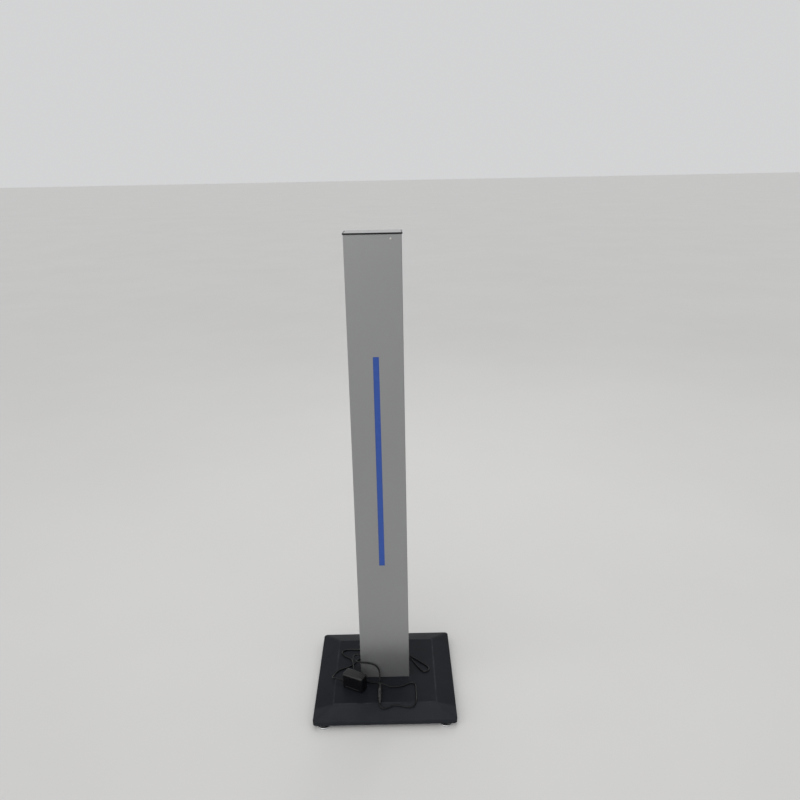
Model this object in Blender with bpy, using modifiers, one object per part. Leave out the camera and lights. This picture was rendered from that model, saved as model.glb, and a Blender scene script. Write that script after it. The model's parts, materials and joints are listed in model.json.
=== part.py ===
"""Touchscreen kiosk: a slim steel column on a weighted square base.

The touch glass closes the column's top.  A blue light strip runs up the front
face.  The rear face has a hinged service door with a cam lock.  A plug-in
power adapter and its thin lead lie on the base.

Frame: +X is the kiosk's right as seen from the front, -Y is the front (the
light strip's side), +Z is up.  The origin is on the floor under the centre.
"""
import math

import bmesh
import bpy
from mathutils import Matrix, Vector

# ---------------------------------------------------------------- dimensions
GAP = 0.0003                 # clearance between neighbouring solids

BASE_SIDE = 0.400
COVER_BOTTOM = 0.012
COVER_LIP_TOP = 0.025
PLATEAU_TOP = 0.040
PLATEAU_INSET = 0.055
COVER_T = 0.0025
COVER_CORNER_R = 0.010

BOTTOM_PLATE_T = 0.004
BALLAST_SIDE = 0.240

COLUMN_W = 0.142
COLUMN_D = 0.070
COLUMN_T = 0.0015
COLUMN_BOTTOM = PLATEAU_TOP + GAP
COLUMN_TOP = 1.3158
COLUMN_CORNER_R = 0.002
FRONT_Y = -COLUMN_D / 2
REAR_Y = COLUMN_D / 2

FOOT_PLATE_T = 0.008
BOLT_X = 0.050
BOLT_Y = 0.020
BOLT_D = 0.008

SLOT_W = 0.0155
SLOT_BOTTOM = 0.4135
SLOT_TOP = 1.0130
CHANNEL_W = 0.023
CHANNEL_D = 0.012
CHANNEL_T = 0.0015
CHANNEL_EXTRA = 0.006        # how far the channel runs past each slot end

FOOT_XY = (0.170, 0.1825)
FOOT_PAD_R = 0.019
FOOT_PAD_H = 0.007
STUD_D = 0.008

DOOR_OPENING_W = 0.098
DOOR_OPENING_BOTTOM = 0.120
DOOR_OPENING_TOP = 1.220
DOOR_OVERLAP = 0.0065
DOOR_T = 0.002
HINGE_X = -0.060
KNUCKLE_R = 0.0035
HINGE_PIN_R = 0.0015
LEAF_T = 0.0012
HINGE_HEIGHTS = (0.260, 1.080)
LOCK_X = 0.036
LOCK_Z = 0.650

BEZEL_W = 0.146
BEZEL_D = 0.074
BEZEL_T = 0.004
GLASS_W = 0.1394
GLASS_D = 0.0674
GLASS_T = 0.0018

CORD_D = 0.004
GROMMET_Y = -0.008           # the pigtail leaves the column's left side, above the base
GROMMET_Z = 0.100
CONNECTOR_R = 0.0052
ADAPTER_SIZE = (0.064, 0.032, 0.048)
ADAPTER_AT = (-0.0870, -0.0785)
ADAPTER_TURN = math.radians(-28.0)

EPS = 0.002                  # how far a cutter runs past what it cuts


# ------------------------------------------------------------------- helpers
def clear_scene():
    for old in list(bpy.data.objects):
        bpy.data.objects.remove(old, do_unlink=True)


def new_collection(name, hidden=False):
    collection = bpy.data.collections.new(name)
    bpy.context.scene.collection.children.link(collection)
    collection.hide_render = hidden
    return collection


def material(name, colour, roughness, metallic=0.0, emission=0.0):
    mat = bpy.data.materials.new(name)
    mat.use_nodes = True
    shader = mat.node_tree.nodes["Principled BSDF"]
    shader.inputs["Base Color"].default_value = (*colour, 1.0)
    shader.inputs["Roughness"].default_value = roughness
    shader.inputs["Metallic"].default_value = metallic
    if emission:
        shader.inputs["Emission Color"].default_value = (*colour, 1.0)
        shader.inputs["Emission Strength"].default_value = emission
    return mat


def link(name, mesh, mat, smooth=False):
    obj = bpy.data.objects.new(name, mesh)
    KIOSK.objects.link(obj)
    if mat is not None:
        mesh.materials.append(mat)
    if smooth:
        mesh.shade_smooth()
        mesh.set_sharp_from_angle(angle=math.radians(35))
    return obj


def mesh_from(bm, name):
    mesh = bpy.data.meshes.new(name)
    bmesh.ops.recalc_face_normals(bm, faces=bm.faces)
    bm.to_mesh(mesh)
    bm.free()
    return mesh


def add_box(bm, lo, hi):
    """Add a closed box between two corners, and return its vertices."""
    lo, hi = Vector(lo), Vector(hi)
    size = hi - lo
    place = Matrix.Translation((lo + hi) / 2) @ Matrix.Diagonal((*size, 1.0))
    return bmesh.ops.create_cube(bm, size=1.0, matrix=place)["verts"]


def add_rod(bm, start, end, radius, sides=20, end_radius=None):
    """Add a closed cylinder or cone from start to end."""
    start, end = Vector(start), Vector(end)
    along = end - start
    turn = along.to_track_quat("Z", "Y").to_matrix().to_4x4()
    place = Matrix.Translation((start + end) / 2) @ turn
    bmesh.ops.create_cone(
        bm, cap_ends=True, segments=sides, radius1=radius,
        radius2=radius if end_radius is None else end_radius,
        depth=along.length, matrix=place)


def bevel_edges(bm, keep, offset, segments):
    edges = [e for e in bm.edges if keep(e)]
    bmesh.ops.bevel(bm, geom=edges, offset=offset, segments=segments,
                    profile=0.5, affect="EDGES")


def is_vertical(edge):
    a, b = edge.verts
    return abs(a.co.x - b.co.x) + abs(a.co.y - b.co.y) < 1e-6


def boxes(name, corners, mat, bevel=0.0, segments=1):
    """One object made of closed boxes that do not touch each other."""
    bm = bmesh.new()
    for lo, hi in corners:
        add_box(bm, lo, hi)
    if bevel:
        bevel_edges(bm, lambda e: True, bevel, segments)
    return link(name, mesh_from(bm, name), mat)


def rods(name, spans, mat, sides=20):
    """One object made of separate closed cylinders (start, end, radius)."""
    bm = bmesh.new()
    for start, end, radius in spans:
        add_rod(bm, start, end, radius, sides)
    return link(name, mesh_from(bm, name), mat, smooth=True)


def turned(name, profile, mat, at=(0, 0, 0), axis="Z", steps=32, ring=False):
    """A turned piece: (radius, height) down its outer side; a ring's profile is a loop."""
    bm = bmesh.new()
    verts = [bm.verts.new((r, 0.0, h)) for r, h in profile]
    for a, b in zip(verts, verts[1:]):
        bm.edges.new((a, b))
    if ring:
        bm.edges.new((verts[-1], verts[0]))
    mesh = bpy.data.meshes.new(name)
    bm.to_mesh(mesh)
    bm.free()
    obj = link(name, mesh, mat, smooth=False)
    screw = obj.modifiers.new("Turn", "SCREW")
    screw.steps = steps
    screw.render_steps = steps
    screw.use_merge_vertices = True
    screw.merge_threshold = 0.00001
    obj.location = at
    if axis == "-Y":
        obj.rotation_euler = (math.pi / 2, 0, 0)
    if axis == "+Y":
        obj.rotation_euler = (-math.pi / 2, 0, 0)
    if axis == "-X":
        obj.rotation_euler = (0, -math.pi / 2, 0)
    return obj


def boolean(obj, other, operation):
    modifier = obj.modifiers.new(operation.title(), "BOOLEAN")
    modifier.operation = operation
    modifier.object = other
    modifier.solver = "EXACT"
    CUTTERS.objects.link(other)
    KIOSK.objects.unlink(other)
    other.hide_render = True
    other.display_type = "WIRE"
    return obj


def cut(obj, cutter):
    return boolean(obj, cutter, "DIFFERENCE")


def join(obj, other):
    return boolean(obj, other, "UNION")


def fine_route(points):
    """A dense Catmull-Rom curve through the given points."""
    pts = [Vector(p) for p in points]
    pts = [2 * pts[0] - pts[1]] + pts + [2 * pts[-1] - pts[-2]]
    fine = []
    for p0, p1, p2, p3 in zip(pts, pts[1:], pts[2:], pts[3:]):
        for i in range(24):
            t = i / 24
            fine.append(0.5 * (2 * p1 + (p2 - p0) * t
                               + (2 * p0 - 5 * p1 + 4 * p2 - p3) * t * t
                               + (3 * p1 - p0 - 3 * p2 + p3) * t ** 3))
    fine.append(pts[-2])
    return fine


def smooth_route(points, step, end_step=0.0035):
    """Points about one step apart on the curve, with one more close to each end."""
    fine = fine_route(points)
    length = sum((b - a).length for a, b in zip(fine, fine[1:]))
    count = max(2, round(length / step))
    wanted = [end_step] + [length * i / count for i in range(1, count)] + [length - end_step]
    out, run = [fine[0]], 0.0
    for a, b in zip(fine, fine[1:]):
        seg = (b - a).length
        while wanted and run + seg >= wanted[0]:
            out.append(a.lerp(b, (wanted.pop(0) - run) / seg))
        run += seg
    out.append(fine[-1])
    return out


def tube(name, route, diameter, mat, step, resolution=2):
    curve = bpy.data.curves.new(name, "CURVE")
    curve.dimensions = "3D"
    curve.bevel_depth = diameter / 2
    curve.bevel_resolution = resolution
    curve.use_fill_caps = True
    points = smooth_route(route, step)
    spline = curve.splines.new("POLY")
    spline.points.add(len(points) - 1)
    for spot, point in zip(spline.points, points):
        spot.co = (*point, 1.0)
    curve.materials.append(mat)
    obj = bpy.data.objects.new(name, curve)
    KIOSK.objects.link(obj)
    return obj


def empty(name, at):
    obj = bpy.data.objects.new(name, None)
    KIOSK.objects.link(obj)
    obj.location = at
    return obj


def hang(obj, pivot):
    """Parent obj to an empty and keep its place in the world."""
    obj.parent = pivot
    obj.matrix_parent_inverse = Matrix.Translation(pivot.location).inverted()
    return obj


# ---------------------------------------------------------------------- base
def foot_places():
    x, y = FOOT_XY
    return {"front_left": (-x, -y), "front_right": (x, -y),
            "rear_left": (-x, y), "rear_right": (x, y)}


def bolt_places():
    return [(sx * BOLT_X, sy * BOLT_Y) for sx in (-1, 1) for sy in (-1, 1)]


def bolt_holes(name, low, high):
    spans = [((x, y, low), (x, y, high), BOLT_D / 2 + GAP) for x, y in bolt_places()]
    return rods(name, spans, None)


def base_cover():
    """Pressed steel tray, open beneath: short skirt, sloping border, flat plateau."""
    half = BASE_SIDE / 2
    bm = bmesh.new()
    add_box(bm, (-half, -half, COVER_BOTTOM), (half, half, COVER_LIP_TOP))
    top = max(bm.faces, key=lambda f: f.calc_center_median().z)
    floor = min(bm.faces, key=lambda f: f.calc_center_median().z)
    bmesh.ops.delete(bm, geom=[floor], context="FACES_ONLY")
    bmesh.ops.inset_region(bm, faces=[top], thickness=PLATEAU_INSET, use_even_offset=True)
    for vert in top.verts:
        vert.co.z = PLATEAU_TOP
    bevel_edges(bm, lambda e: abs(e.verts[0].co.z - e.verts[1].co.z) > 1e-4,
                COVER_CORNER_R, 3)
    bevel_edges(bm, lambda e: (abs(e.verts[0].co.z - e.verts[1].co.z) < 1e-5
                               and len(e.link_faces) == 2), 0.0012, 2)
    cover = link("base_cover", mesh_from(bm, "base_cover"), BLACK_PAINT, smooth=True)
    shell = cover.modifiers.new("Wall", "SOLIDIFY")
    shell.thickness = COVER_T
    shell.offset = -1.0
    shell.use_even_offset = True
    return cut(cover, bolt_holes("cover_bolt_holes", PLATEAU_TOP - 0.006, PLATEAU_TOP + EPS))


def bottom_plate():
    """Steel floor of the base, with a weld nut over each levelling foot."""
    half = BASE_SIDE / 2 - COVER_T - 0.0006
    low = COVER_BOTTOM + 0.0002
    high = low + BOTTOM_PLATE_T
    nut_top = high + 0.0065
    bm = bmesh.new()
    add_box(bm, (-half, -half, low), (half, half, high))
    bevel_edges(bm, is_vertical, COVER_CORNER_R, 3)
    plate = link("bottom_plate", mesh_from(bm, "bottom_plate"), ZINC)
    feet = foot_places().values()
    join(plate, rods("weld_nuts", [((x, y, high - 0.001), (x, y, nut_top), 0.0075)
                                   for x, y in feet], None, sides=6))
    holes = [((x, y, low - EPS), (x, y, high + EPS), BOLT_D / 2 + GAP)
             for x, y in bolt_places()]
    holes += [((x, y, low - EPS), (x, y, nut_top + EPS), STUD_D / 2 + GAP) for x, y in feet]
    return cut(plate, rods("bottom_plate_holes", holes, None))


def ballast_plate():
    half = BALLAST_SIDE / 2
    low = COVER_BOTTOM + BOTTOM_PLATE_T + 0.0005
    high = PLATEAU_TOP - COVER_T - GAP
    plate = boxes("ballast_plate", [((-half, -half, low), (half, half, high))], CAST, 0.001)
    return cut(plate, bolt_holes("ballast_bolt_holes", low - EPS, high + EPS))


def column_bolts():
    """Four bolts from beneath clamp the cover between the ballast and the column."""
    head_low, head_high = 0.0066, COVER_BOTTOM - 0.0001
    shank_top = COLUMN_BOTTOM + FOOT_PLATE_T + 0.004
    for number, (x, y) in enumerate(bolt_places(), start=1):
        name = f"column_bolt_{number}"
        head = rods(name, [((x, y, head_low), (x, y, head_high), 0.0073)], ZINC, sides=6)
        shank = ((x, y, head_high - 0.001), (x, y, shank_top), BOLT_D / 2)
        join(head, rods(name + "_shank", [shank], None))


def levelling_feet():
    """Four chrome feet: a threaded stud in the bottom plate and a swivel pad on it."""
    for place, (x, y) in foot_places().items():
        pivot = empty("foot_" + place, (x, y, 0.0))
        stud = turned("foot_stud_" + place, [
            (0.0, 0.0222), (0.0030, 0.0222), (0.0039, 0.0213), (0.0039, 0.0042),
            (0.0032, 0.0033), (0.0, 0.0033)], ZINC, steps=16)
        pad = turned("foot_pad_" + place, [
            (0.0, 0.0029), (0.0042, 0.0029), (0.0042, FOOT_PAD_H), (0.0078, FOOT_PAD_H),
            (0.0092, 0.0066), (0.0130, 0.0060), (0.0165, 0.0055), (FOOT_PAD_R - 0.0006, 0.0050),
            (FOOT_PAD_R, 0.0042), (FOOT_PAD_R, 0.0009), (FOOT_PAD_R - 0.0008, 0.0),
            (0.0, 0.0)], CHROME, steps=28)
        for piece in (stud, pad):
            piece.parent = pivot


# -------------------------------------------------------------------- column
def column_foot_plate():
    half_w = COLUMN_W / 2 - COLUMN_T - GAP
    half_d = COLUMN_D / 2 - COLUMN_T - GAP
    low, high = COLUMN_BOTTOM, COLUMN_BOTTOM + FOOT_PLATE_T
    plate = boxes("column_foot_plate", [((-half_w, -half_d, low), (half_w, half_d, high))],
                  ZINC, 0.0005)
    return cut(plate, bolt_holes("foot_plate_holes", low - EPS, high + EPS))


def bezel_screw_places():
    """One screw at the front right and one at the rear left hold the bezel."""
    return [(0.0437, -1), (-0.0437, 1)]


def column_shell():
    half_w, half_d = COLUMN_W / 2, COLUMN_D / 2
    bm = bmesh.new()
    add_box(bm, (-half_w, -half_d, COLUMN_BOTTOM), (half_w, half_d, COLUMN_TOP))
    bevel_edges(bm, is_vertical, COLUMN_CORNER_R, 3)
    shell = link("column_shell", mesh_from(bm, "column_shell"), GREY_PAINT, smooth=True)
    inner_w, inner_d = half_w - COLUMN_T, half_d - COLUMN_T
    opening = DOOR_OPENING_W / 2
    cut(shell, boxes("column_hollow", [
        ((-inner_w, -inner_d, COLUMN_BOTTOM - EPS), (inner_w, inner_d, COLUMN_TOP + EPS))],
        None))
    cut(shell, boxes("column_openings", [
        ((-SLOT_W / 2, -half_d - EPS, SLOT_BOTTOM), (SLOT_W / 2, -inner_d + EPS, SLOT_TOP)),
        ((-opening, inner_d - EPS, DOOR_OPENING_BOTTOM),
         (opening, half_d + EPS, DOOR_OPENING_TOP))], None))
    holes = [((-half_w - EPS, GROMMET_Y, GROMMET_Z),
              (-inner_w + EPS, GROMMET_Y, GROMMET_Z), 0.0040)]
    holes += [((x, side * (half_d + EPS), BEZEL_SCREW_Z),
               (x, side * (inner_d - EPS), BEZEL_SCREW_Z), 0.0018)
              for x, side in bezel_screw_places()]
    return cut(shell, rods("column_holes", holes, None))


def cable_grommet():
    """Rubber ring in the left wall: a lip outside, a neck, a lip inside."""
    wall = COLUMN_W / 2
    return turned("cable_grommet", [
        (0.0023, wall + 0.0020), (0.0046, wall + 0.0020), (0.0060, wall + 0.0010),
        (0.0060, wall + GAP), (0.0037, wall + GAP), (0.0037, wall - COLUMN_T - GAP),
        (0.0055, wall - COLUMN_T - GAP), (0.0055, wall - COLUMN_T - 0.0015),
        (0.0023, wall - COLUMN_T - 0.0015)],
        RUBBER, at=(0, GROMMET_Y, GROMMET_Z), axis="-X", steps=20, ring=True)


# --------------------------------------------------------------- light strip
def light_channel():
    front = FRONT_Y + COLUMN_T + GAP
    back = front + CHANNEL_D
    half = CHANNEL_W / 2
    low, high = SLOT_BOTTOM - CHANNEL_EXTRA, SLOT_TOP + CHANNEL_EXTRA
    channel = boxes("light_channel", [((-half, front, low), (half, back, high))], ALUMINIUM)
    inner = half - CHANNEL_T
    return cut(channel, boxes("light_channel_hollow", [
        ((-inner, front - EPS, low - EPS), (inner, back - CHANNEL_T, high + EPS))], None))


def light_lens():
    front = FRONT_Y + COLUMN_T + GAP
    half = CHANNEL_W / 2 - CHANNEL_T - GAP
    low, high = SLOT_BOTTOM - CHANNEL_EXTRA, SLOT_TOP + CHANNEL_EXTRA
    return boxes("light_lens", [((-half, front, low), (half, front + 0.002, high))],
                 BLUE_LENS, 0.0003)


def light_board():
    """Light strip: a narrow circuit board with a row of light chips."""
    back = FRONT_Y + COLUMN_T + GAP + CHANNEL_D - CHANNEL_T
    low, high = SLOT_BOTTOM - 0.002, SLOT_TOP + 0.002
    face = back - GAP - 0.0016
    board = boxes("light_board", [((-0.005, face, low), (0.005, back - GAP, high))], BOARD_WHITE)
    count = 24
    pitch = (high - low) / count
    chips = []
    for i in range(count):
        z = low + (i + 0.5) * pitch
        chips.append(((-0.0025, face - 0.0016, z - 0.0025), (0.0025, face + 0.0004, z + 0.0025)))
    return join(board, boxes("light_chips", chips, None))


def light_channel_straps():
    """Hat-shaped straps that hold the channel against the front wall."""
    front = FRONT_Y + COLUMN_T + GAP
    depth = front + CHANNEL_D + GAP
    half = CHANNEL_W / 2 + GAP
    tall = 0.007
    wall = 0.0012
    for name, z in (("lower", 0.500), ("upper", 0.900)):
        strap = boxes("light_strap_" + name, [
            ((-0.026, front, z - tall), (0.026, depth + wall, z + tall))], ZINC)
        low, high = z - tall - EPS, z + tall + EPS
        cut(strap, boxes("strap_hollow_" + name, [
            ((-half, front - EPS, low), (half, depth, high))], None))
        cut(strap, boxes("strap_corners_" + name, [
            ((-0.030, front + wall, low), (-half - wall, depth + wall + EPS, high)),
            ((half + wall, front + wall, low), (0.030, depth + wall + EPS, high))], None))


# --------------------------------------------------------------- electronics
PLATE_FRONT = -0.0180
PLATE_T = 0.0015
PLATE_BACK = PLATE_FRONT + PLATE_T
PLATE_LOW, PLATE_HIGH = 0.105, 0.385
BOARD_Y = -0.0102


def equipment_plate():
    """Sheet carrier with pressed-in standoffs, front ones long and rear ones short."""
    plate = boxes("equipment_plate", [
        ((-0.058, PLATE_FRONT, PLATE_LOW), (0.058, PLATE_BACK, PLATE_HIGH))], ZINC)
    posts = [((x, FRONT_Y + COLUMN_T + GAP, z), (x, PLATE_FRONT + 0.0005, z), 0.0035)
             for x in (-0.050, 0.050) for z in (0.115, 0.375)]
    posts += [((x, PLATE_BACK - 0.0005, z), (x, BOARD_Y - GAP, z), 0.0025)
              for x in (-0.0365, 0.0125) for z in (0.2385, 0.3165)]
    return join(plate, rods("plate_standoffs", posts, None, sides=12))


def controller():
    """Single-board computer: sockets along its lower edge and a finned heat sink."""
    low, high = 0.235, 0.320
    face = BOARD_Y + 0.0006
    board = boxes("controller_board", [
        ((-0.040, BOARD_Y, low), (0.016, BOARD_Y + 0.0016, high))], BOARD_GREEN)
    join(board, boxes("controller_sockets", [
        ((-0.038, face, 0.2355), (-0.0225, face + 0.0150, 0.2520)),
        ((-0.020, face, 0.2355), (-0.0060, face + 0.0160, 0.2520)),
        ((-0.003, face, 0.2355), (0.0110, face + 0.0160, 0.2520)),
        ((-0.012, face, 0.3120), (0.0030, face + 0.0070, 0.3196)),
        ((0.0085, face, 0.2650), (0.0150, face + 0.0090, 0.3050))], None, 0.0004))
    join(board, boxes("heatsink_base", [
        ((-0.022, face, 0.272), (-0.004, face + 0.0030, 0.290))], None))
    fins = []
    for i in range(5):
        x = -0.0220 + i * 0.0041
        fins.append(((x, face + 0.0025, 0.272), (x + 0.0016, face + 0.0090, 0.290)))
    return join(board, boxes("heatsink_fins", fins, None))


def light_driver():
    return boxes("light_driver", [((-0.026, PLATE_BACK + GAP, 0.338),
                                   (0.026, 0.0015, 0.362))], DARK_PLASTIC, 0.001)


def terminal_block():
    top = 0.0020
    block = boxes("terminal_block", [((-0.031, PLATE_BACK + GAP, 0.150),
                                      (0.031, top, 0.172))], NYLON, 0.0006)
    wells = [((-0.025 + i * 0.010, top - 0.004, 0.161), (-0.025 + i * 0.010, top + EPS, 0.161),
              0.0028) for i in range(6)]
    return cut(block, rods("terminal_wells", wells, None, sides=12))


def inside_leads():
    tube("supply_lead", [
        (-0.0697, GROMMET_Y, GROMMET_Z), (-0.058, GROMMET_Y, 0.1004), (-0.042, -0.0070, 0.104),
        (-0.027, -0.0065, 0.118), (-0.021, -0.0070, 0.134), (-0.020, -0.0075, 0.1495)],
        CORD_D, RUBBER, 0.009)
    tube("light_lead", [
        (0.0, -0.0080, 0.3625), (0.0, -0.0095, 0.374), (0.0, -0.0120, 0.386),
        (0.0, -0.0180, 0.3945), (0.0, -0.0250, 0.4000), (0.0, -0.0280, 0.4090)],
        0.003, RUBBER, 0.004)
    tube("display_loom", [
        (-0.030, -0.0035, 0.3240), (-0.033, -0.0015, 0.338), (-0.047, 0.003, 0.360),
        (-0.059, 0.006, 0.390), (-0.061, 0.006, 0.450), (-0.061, 0.006, 0.700),
        (-0.061, 0.006, 0.950), (-0.061, 0.006, 1.200), (-0.058, 0.005, 1.245),
        (-0.043, 0.002, 1.272), (-0.024, 0.0, 1.287), (-0.020, 0.0, 1.298), (-0.020, 0.0, 1.3075)],
        0.006, RUBBER, 0.020)


def loom_clips():
    for name, z in (("lower", 0.550), ("upper", 1.000)):
        clip = boxes("loom_clip_" + name, [
            ((-0.0692, 0.0005, z - 0.004), (-0.0560, 0.0115, z + 0.004))], NYLON, 0.0006)
        cut(clip, rods("loom_clip_bore_" + name, [
            ((-0.061, 0.006, z - 0.008), (-0.061, 0.006, z + 0.008), 0.0034)], None, sides=16))


# ----------------------------------------------------------------- touch top
BEZEL_LOW = COLUMN_TOP + GAP
BEZEL_HIGH = BEZEL_LOW + BEZEL_T
SPIGOT_LOW = 1.2960
BEZEL_SCREW_Z = 1.3055
RECESS_FLOOR = BEZEL_HIGH - 0.0027


def top_bezel():
    """Black moulded cap: thin flange over the column, spigot inside it."""
    bm = bmesh.new()
    add_box(bm, (-BEZEL_W / 2, -BEZEL_D / 2, BEZEL_LOW), (BEZEL_W / 2, BEZEL_D / 2, BEZEL_HIGH))
    bevel_edges(bm, is_vertical, COLUMN_CORNER_R + 0.002, 3)
    bevel_edges(bm, lambda e: not is_vertical(e) and len(e.link_faces) == 2, 0.0005, 1)
    bezel = link("top_bezel", mesh_from(bm, "top_bezel"), BLACK_PLASTIC, smooth=True)
    outer_w, outer_d = 0.0690, 0.0330
    join(bezel, boxes("bezel_spigot", [
        ((-outer_w, -outer_d, SPIGOT_LOW), (outer_w, outer_d, BEZEL_LOW + 0.0005))], None))
    cut(bezel, boxes("bezel_under_hollow", [
        ((-0.0665, -0.0305, SPIGOT_LOW - EPS), (0.0665, 0.0305, BEZEL_LOW))], None))
    cut(bezel, boxes("bezel_window", [
        ((-0.0505, -0.0290, BEZEL_LOW - EPS), (0.0505, 0.0290, RECESS_FLOOR + EPS))], None))
    cut(bezel, boxes("bezel_recess", [
        ((-GLASS_W / 2 - GAP, -GLASS_D / 2 - GAP, RECESS_FLOOR),
         (GLASS_W / 2 + GAP, GLASS_D / 2 + GAP, BEZEL_HIGH + EPS))], None))
    holes = [((x, side * 0.028, BEZEL_SCREW_Z), (x, side * 0.0365, BEZEL_SCREW_Z), 0.0018)
             for x, side in bezel_screw_places()]
    return cut(bezel, rods("bezel_holes", holes, None, 12))


def touch_glass():
    low = BEZEL_HIGH - GLASS_T
    return boxes("touch_glass", [((-GLASS_W / 2, -GLASS_D / 2, low),
                                  (GLASS_W / 2, GLASS_D / 2, BEZEL_HIGH))], GLASS, 0.0003)


def glass_tape():
    low, high = RECESS_FLOOR + GAP, BEZEL_HIGH - GLASS_T - GAP
    tape = boxes("glass_tape", [((-0.0685, -0.0328, low), (0.0685, 0.0328, high))], RUBBER)
    return cut(tape, boxes("tape_window", [((-0.0515, -0.0298, low - EPS),
                                            (0.0515, 0.0298, high + EPS))], None))


def display():
    """Panel bonded under the glass, with its controller board on its back."""
    high = BEZEL_HIGH - GLASS_T - GAP
    low = high - 0.0034
    boxes("display_panel", [((-0.0500, -0.0285, low), (0.0500, 0.0285, high))],
          DARK_PLASTIC, 0.0004)
    board = boxes("display_board", [
        ((-0.030, -0.020, low - GAP - 0.0016), (0.030, 0.020, low - GAP))], BOARD_GREEN)
    join(board, boxes("display_board_sockets", [
        ((-0.0240, -0.0050, low - 0.0065), (-0.0160, 0.0050, low - GAP - 0.0010)),
        ((0.0050, -0.0120, low - 0.0045), (0.0170, 0.0000, low - GAP - 0.0010))], None))


def bezel_screws():
    for name, (x, side) in zip(("front", "rear"), bezel_screw_places()):
        head = rods("bezel_screw_" + name, [
            ((x, side * 0.0353, BEZEL_SCREW_Z), (x, side * 0.0366, BEZEL_SCREW_Z), 0.0025)],
            NICKEL, 16)
        join(head, rods("bezel_shank_" + name, [
            ((x, side * 0.0300, BEZEL_SCREW_Z), (x, side * 0.0358, BEZEL_SCREW_Z), 0.0015)],
            None, 12))


# -------------------------------------------------------------- service door
KNUCKLE_Y = REAR_Y + GAP + KNUCKLE_R
DOOR_FACE = REAR_Y + GAP + DOOR_T


def service_door(pivot):
    low = DOOR_OPENING_BOTTOM - DOOR_OVERLAP
    high = DOOR_OPENING_TOP + DOOR_OVERLAP
    door = boxes("service_door", [((-0.0560, REAR_Y + GAP, low), (0.0555, DOOR_FACE, high))],
                 GREY_PAINT, 0.0004)
    slots = [((-0.030, REAR_Y - EPS, z), (0.030, DOOR_FACE + EPS, z + 0.003))
             for start in (0.160, 1.130) for z in (start + i * 0.009 for i in range(6))]
    cut(door, boxes("door_vents", slots, None))
    cut(door, rods("door_lock_hole", [
        ((LOCK_X, REAR_Y - EPS, LOCK_Z), (LOCK_X, DOOR_FACE + EPS, LOCK_Z), 0.0083)], None))
    return hang(door, pivot)


def hinges(pivot):
    """Two butt hinges, spot-welded: the frame's leaf, the door's leaf and the pin."""
    half, knuckle = 0.025, 0.010
    reach = knuckle - GAP
    head = half + GAP
    axis = (HINGE_X, KNUCKLE_Y)
    front, face = REAR_Y + GAP, DOOR_FACE + GAP
    for name, z in zip(("lower", "upper"), HINGE_HEIGHTS):
        frame = boxes("hinge_frame_leaf_" + name, [
            ((-0.0702, front, z - half), (HINGE_X, front + LEAF_T, z + half))], NICKEL)
        join(frame, rods("frame_knuckles_" + name, [
            ((*axis, z + knuckle), (*axis, z + half), KNUCKLE_R),
            ((*axis, z - half), (*axis, z - knuckle), KNUCKLE_R)], None, 24))
        cut(frame, boxes("frame_leaf_gap_" + name, [
            ((HINGE_X - KNUCKLE_R - 0.0006, REAR_Y, z - knuckle - GAP / 2),
             (HINGE_X + 0.006, KNUCKLE_Y + 0.006, z + knuckle + GAP / 2))], None))
        leaf = boxes("hinge_door_leaf_" + name, [
            ((-0.0560, face, z - half + 0.0005), (-0.0420, face + LEAF_T, z + half - 0.0005))],
            NICKEL)
        join(leaf, boxes("door_leaf_tab_" + name, [
            ((HINGE_X, face, z - reach + 0.0002), (-0.0550, face + LEAF_T, z + reach - 0.0002))],
            None))
        join(leaf, rods("door_knuckle_" + name, [
            ((*axis, z - reach), (*axis, z + reach), KNUCKLE_R)], None, 24))
        for piece in (frame, leaf):
            cut(piece, rods(piece.name + "_bore", [
                ((*axis, z - half - EPS), (*axis, z + half + EPS), HINGE_PIN_R + GAP)], None, 16))
        hang(leaf, pivot)
        pin = rods("hinge_pin_" + name, [((*axis, z + head), (*axis, z + head + 0.001), 0.0026)],
                   NICKEL, 16)
        join(pin, rods("pin_shank_" + name, [
            ((*axis, z - head), (*axis, z + head + 0.0005), HINGE_PIN_R)], None, 16))


def cam_lock(pivot):
    at = (LOCK_X, 0.0, LOCK_Z)
    face = DOOR_FACE + GAP
    body = turned("lock_body", [
        (0.0056, face + 0.0020), (0.0092, face + 0.0020), (0.0105, face + 0.0012),
        (0.0105, face), (0.0080, face), (0.0080, 0.0330), (0.0056, 0.0330)],
        CHROME, at=at, axis="+Y", steps=32, ring=True)
    nut = rods("lock_nut", [((LOCK_X, 0.0335, LOCK_Z), (LOCK_X, 0.0350, LOCK_Z), 0.0104)],
               ZINC, sides=6)
    cut(nut, rods("lock_nut_bore", [((LOCK_X, 0.032, LOCK_Z), (LOCK_X, 0.037, LOCK_Z), 0.0083)],
                  None, 24))
    barrel = rods("lock_barrel", [((LOCK_X, 0.0326, LOCK_Z), (LOCK_X, face + 0.0024, LOCK_Z),
                                   0.0053)], CHROME, 28)
    cut(barrel, boxes("key_slot", [((LOCK_X - 0.0009, face - 0.003, LOCK_Z - 0.0032),
                                    (LOCK_X + 0.0009, face + 0.006, LOCK_Z + 0.0032))], None))
    cam = boxes("lock_cam", [((LOCK_X - 0.006, 0.0301, LOCK_Z - 0.022),
                              (LOCK_X + 0.006, 0.0323, LOCK_Z + 0.006))], ZINC, 0.0005)
    turn = empty("lock_pivot", at)
    hang(barrel, turn)
    hang(cam, turn)
    for piece in (body, nut, turn):
        hang(piece, pivot)


# ------------------------------------------------------- adapter and its lead
CONNECTOR_X = -0.015
CONNECTOR_Z = PLATEAU_TOP + GAP + CONNECTOR_R
RELIEF_DROP = -0.0140
EDGE_BRIDGE = 0.0045         # the lead bridges the plateau's edge over this width


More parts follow.
